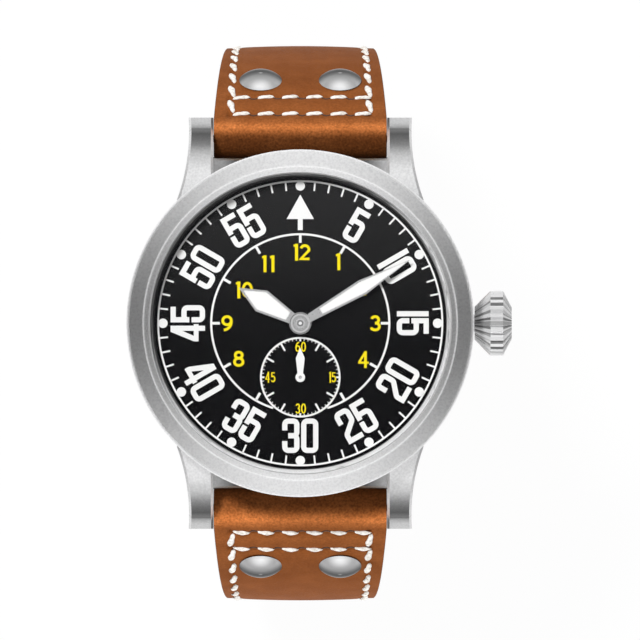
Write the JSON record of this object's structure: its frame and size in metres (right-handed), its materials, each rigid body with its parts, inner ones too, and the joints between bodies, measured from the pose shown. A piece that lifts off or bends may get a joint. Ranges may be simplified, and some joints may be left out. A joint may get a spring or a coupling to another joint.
{
  "type": "pilot watch",
  "caption": "Hand-wound pilot watch: round steel case with four lugs, onion crown, black dial with small seconds, and a riveted tan leather strap closed by a tang buckle.",
  "frame": {"origin": "centre of the case back's outer flat face", "axes": "+Z out of the dial, +Y to 12 o'clock, +X to 3 o'clock and the crown"},
  "size_m": [0.0488, 0.0708, 0.0622],
  "materials": {
    "blasted_steel": "bead blasted satin",
    "polished_steel": "polished",
    "inner_steel": "fine turned",
    "spring_steel": "tempered",
    "sapphire": "clear, coated",
    "seal_rubber": "matt black",
    "dial_black": "satin black lacquer",
    "hand_steel": "polished edges",
    "hand_white": "white luminous filling",
    "plate_nickel": "nickel plated, fine grained",
    "wheel_brass": "gilt",
    "ruby": "polished",
    "tan_leather": "smooth tan with fine grain",
    "lining_leather": "matt natural"
  },
  "bodies": {
    "case_assembly": {"case": "blasted_steel", "bezel": "blasted_steel", "crystal": "sapphire", "crystal_gasket": "seal_rubber", "rehaut_ring": "polished_steel", "case_back": "blasted_steel", "back_gasket": "seal_rubber", "movement_ring": "inner_steel", "crown_tube": "inner_steel", "dial": "dial_black", "main_plate": "plate_nickel", "barrel_bridge": "plate_nickel", "train_bridge": "plate_nickel", "balance_cock": "plate_nickel", "pallet_bridge": "plate_nickel", "bridge_screws": "inner_steel", "pivot_jewels": "ruby", "click_spring": "spring_steel", "spring_bar_12": "inner_steel", "spring_bar_6": "inner_steel"},
    "crown_slide": {"crown_seal": "seal_rubber"},
    "crown": {"crown": "blasted_steel", "winding_stem": "inner_steel"},
    "winding_pinion": {"winding_pinion": "inner_steel", "clutch_pinion": "inner_steel"},
    "crown_wheel": {"crown_wheel": "inner_steel"},
    "ratchet": {"ratchet_wheel": "inner_steel", "barrel_arbor": "inner_steel"},
    "barrel": {"barrel": "wheel_brass", "barrel_cover": "wheel_brass", "mainspring": "spring_steel"},
    "click": {"click": "inner_steel"},
    "setting_lever": {"setting_lever": "inner_steel"},
    "centre_wheel": {"centre_wheel": "wheel_brass"},
    "minute_hand": {"cannon_pinion": "inner_steel", "minute_hand": "hand_steel", "minute_hand_inlay": "hand_white"},
    "minute_wheel": {"minute_wheel": "wheel_brass"},
    "hour_hand": {"hour_wheel": "wheel_brass", "hour_hand": "hand_steel", "hour_hand_inlay": "hand_white"},
    "third_wheel": {"third_wheel": "wheel_brass"},
    "seconds_hand": {"fourth_wheel": "wheel_brass", "seconds_hand": "hand_white"},
    "escape_wheel": {"escape_wheel": "wheel_brass"},
    "pallet_fork": {"pallet_fork": "inner_steel"},
    "balance": {"balance_wheel": "wheel_brass", "hairspring": "spring_steel"},
    "strap_12": {"strap_12_leather": "tan_leather", "strap_12_lining": "lining_leather", "rivets_12": "polished_steel", "fixed_keeper": "tan_leather", "buckle_bar": "inner_steel"},
    "free_keeper": {"free_keeper": "tan_leather"},
    "buckle": {"buckle_frame": "polished_steel"},
    "tongue": {"buckle_tongue": "polished_steel"},
    "strap_6": {"strap_6_leather": "tan_leather", "strap_6_lining": "lining_leather", "rivets_6": "polished_steel"}
  },
  "joints": [
    {"name": "crown_pull", "type": "slide", "parent": "case_assembly", "child": "crown_slide", "axis": [1, 0, 0], "range_m": [0, 0.001]},
    {"name": "crown_turn", "type": "hinge", "parent": "crown_slide", "child": "crown", "pos_m": [0.0241, 0, 0.00496], "axis": [1, 0, 0], "continuous": true},
    {"name": "winding_pinion_turn", "type": "hinge", "parent": "case_assembly", "child": "winding_pinion", "pos_m": [0.0126, 0, 0.00496], "axis": [1, 0, 0], "continuous": true},
    {"name": "crown_wheel_turn", "type": "hinge", "parent": "case_assembly", "child": "crown_wheel", "pos_m": [0.00975, 0, 0.0021], "axis": [0, 0, 1], "continuous": true},
    {"name": "ratchet_turn", "type": "hinge", "parent": "case_assembly", "child": "ratchet", "pos_m": [0.00462, 0.008, 0.0021], "axis": [0, 0, 1], "continuous": true, "deforming": ["mainspring"]},
    {"name": "click_swing", "type": "hinge", "parent": "case_assembly", "child": "click", "pos_m": [-0.00306, 0.0108, 0.0021], "axis": [0, 0, 1], "range_deg": [0, 8], "stiffness_Nm_per_rad": 0.00001, "deforming": ["click_spring"]},
    {"name": "setting_lever_swing", "type": "hinge", "parent": "case_assembly", "child": "setting_lever", "pos_m": [0.015, 0.003, 0.00705], "axis": [0, 0, 1], "range_deg": [0, 19.15]},
    {"name": "centre_turn", "type": "hinge", "parent": "case_assembly", "child": "centre_wheel", "pos_m": [0, 0, 0.0045], "axis": [0, 0, -1], "continuous": true},
    {"name": "minute_hand_turn", "type": "hinge", "parent": "case_assembly", "child": "minute_hand", "pos_m": [0, 0, 0.00905], "axis": [0, 0, -1], "continuous": true},
    {"name": "minute_wheel_turn", "type": "hinge", "parent": "case_assembly", "child": "minute_wheel", "pos_m": [-0.00197, -0.00138, 0.0071], "axis": [0, 0, -1], "continuous": true},
    {"name": "hour_hand_turn", "type": "hinge", "parent": "case_assembly", "child": "hour_hand", "pos_m": [0, 0, 0.00865], "axis": [0, 0, -1], "continuous": true},
    {"name": "third_wheel_turn", "type": "hinge", "parent": "case_assembly", "child": "third_wheel", "pos_m": [-0.00398, -0.00365, 0.0039], "axis": [0, 0, -1], "continuous": true},
    {"name": "seconds_hand_turn", "type": "hinge", "parent": "case_assembly", "child": "seconds_hand", "pos_m": [0, -0.00684, 0.00825], "axis": [0, 0, -1], "continuous": true},
    {"name": "escape_wheel_turn", "type": "hinge", "parent": "case_assembly", "child": "escape_wheel", "pos_m": [0.00434, -0.00842, 0.00445], "axis": [0, 0, -1], "continuous": true},
    {"name": "barrel_turn", "type": "hinge", "parent": "case_assembly", "child": "barrel", "pos_m": [0.00462, 0.008, 0.0048], "axis": [0, 0, -1], "continuous": true},
    {"name": "pallet_swing", "type": "hinge", "parent": "case_assembly", "child": "pallet_fork", "pos_m": [0.00744, -0.00821, 0.00445], "axis": [0, 0, 1], "range_deg": [-5, 5]},
    {"name": "balance_swing", "type": "hinge", "parent": "case_assembly", "child": "balance", "pos_m": [0.01021, -0.00801, 0.00365], "axis": [0, 0, 1], "range_deg": [-135, 135], "stiffness_Nm_per_rad": 0.0000003, "deforming": ["hairspring"]},
    {"name": "strap_12_swing", "type": "hinge", "parent": "case_assembly", "child": "strap_12", "pos_m": [0, 0.0234, 0.0015], "axis": [1, 0, 0], "range_deg": [0, 70], "deforming": ["strap_12_leather", "strap_12_lining", "strap_6_leather", "strap_6_lining"]},
    {"name": "strap_6_swing", "type": "hinge", "parent": "case_assembly", "child": "strap_6", "pos_m": [0, -0.0234, 0.0015], "axis": [-1, 0, 0], "range_deg": [0, 70], "deforming": ["strap_12_leather", "strap_12_lining", "strap_6_leather", "strap_6_lining"]},
    {"name": "keeper_slide", "type": "slide", "parent": "strap_12", "child": "free_keeper", "axis": [0, -1, 0], "range_m": [0, 0.0044]},
    {"name": "buckle_swing", "type": "hinge", "parent": "strap_12", "child": "buckle", "pos_m": [0, -0.005, -0.043], "axis": [1, 0, 0], "range_deg": [0, 55], "deforming": ["strap_6_leather", "strap_6_lining"]},
    {"name": "tongue_swing", "type": "hinge", "parent": "buckle", "child": "tongue", "pos_m": [0, -0.005, -0.043], "axis": [1, 0, 0], "range_deg": [0, 30], "deforming": ["strap_6_leather", "strap_6_lining"]}
  ],
  "couplings": [
    {"joint": "winding_pinion_turn", "follows": "crown_turn", "ratio": 1},
    {"joint": "crown_wheel_turn", "follows": "crown_turn", "ratio": 0.8},
    {"joint": "ratchet_turn", "follows": "crown_turn", "ratio": -0.36923},
    {"joint": "setting_lever_swing", "follows": "crown_pull", "rad_per_m": 333.33},
    {"joint": "minute_hand_turn", "follows": "centre_turn", "ratio": 1},
    {"joint": "minute_wheel_turn", "follows": "centre_turn", "ratio": -0.33333},
    {"joint": "hour_hand_turn", "follows": "centre_turn", "ratio": 0.083333},
    {"joint": "third_wheel_turn", "follows": "centre_turn", "ratio": -8},
    {"joint": "seconds_hand_turn", "follows": "centre_turn", "ratio": 60},
    {"joint": "escape_wheel_turn", "follows": "centre_turn", "ratio": -600},
    {"joint": "barrel_turn", "follows": "centre_turn", "ratio": -0.16667}
  ]
}
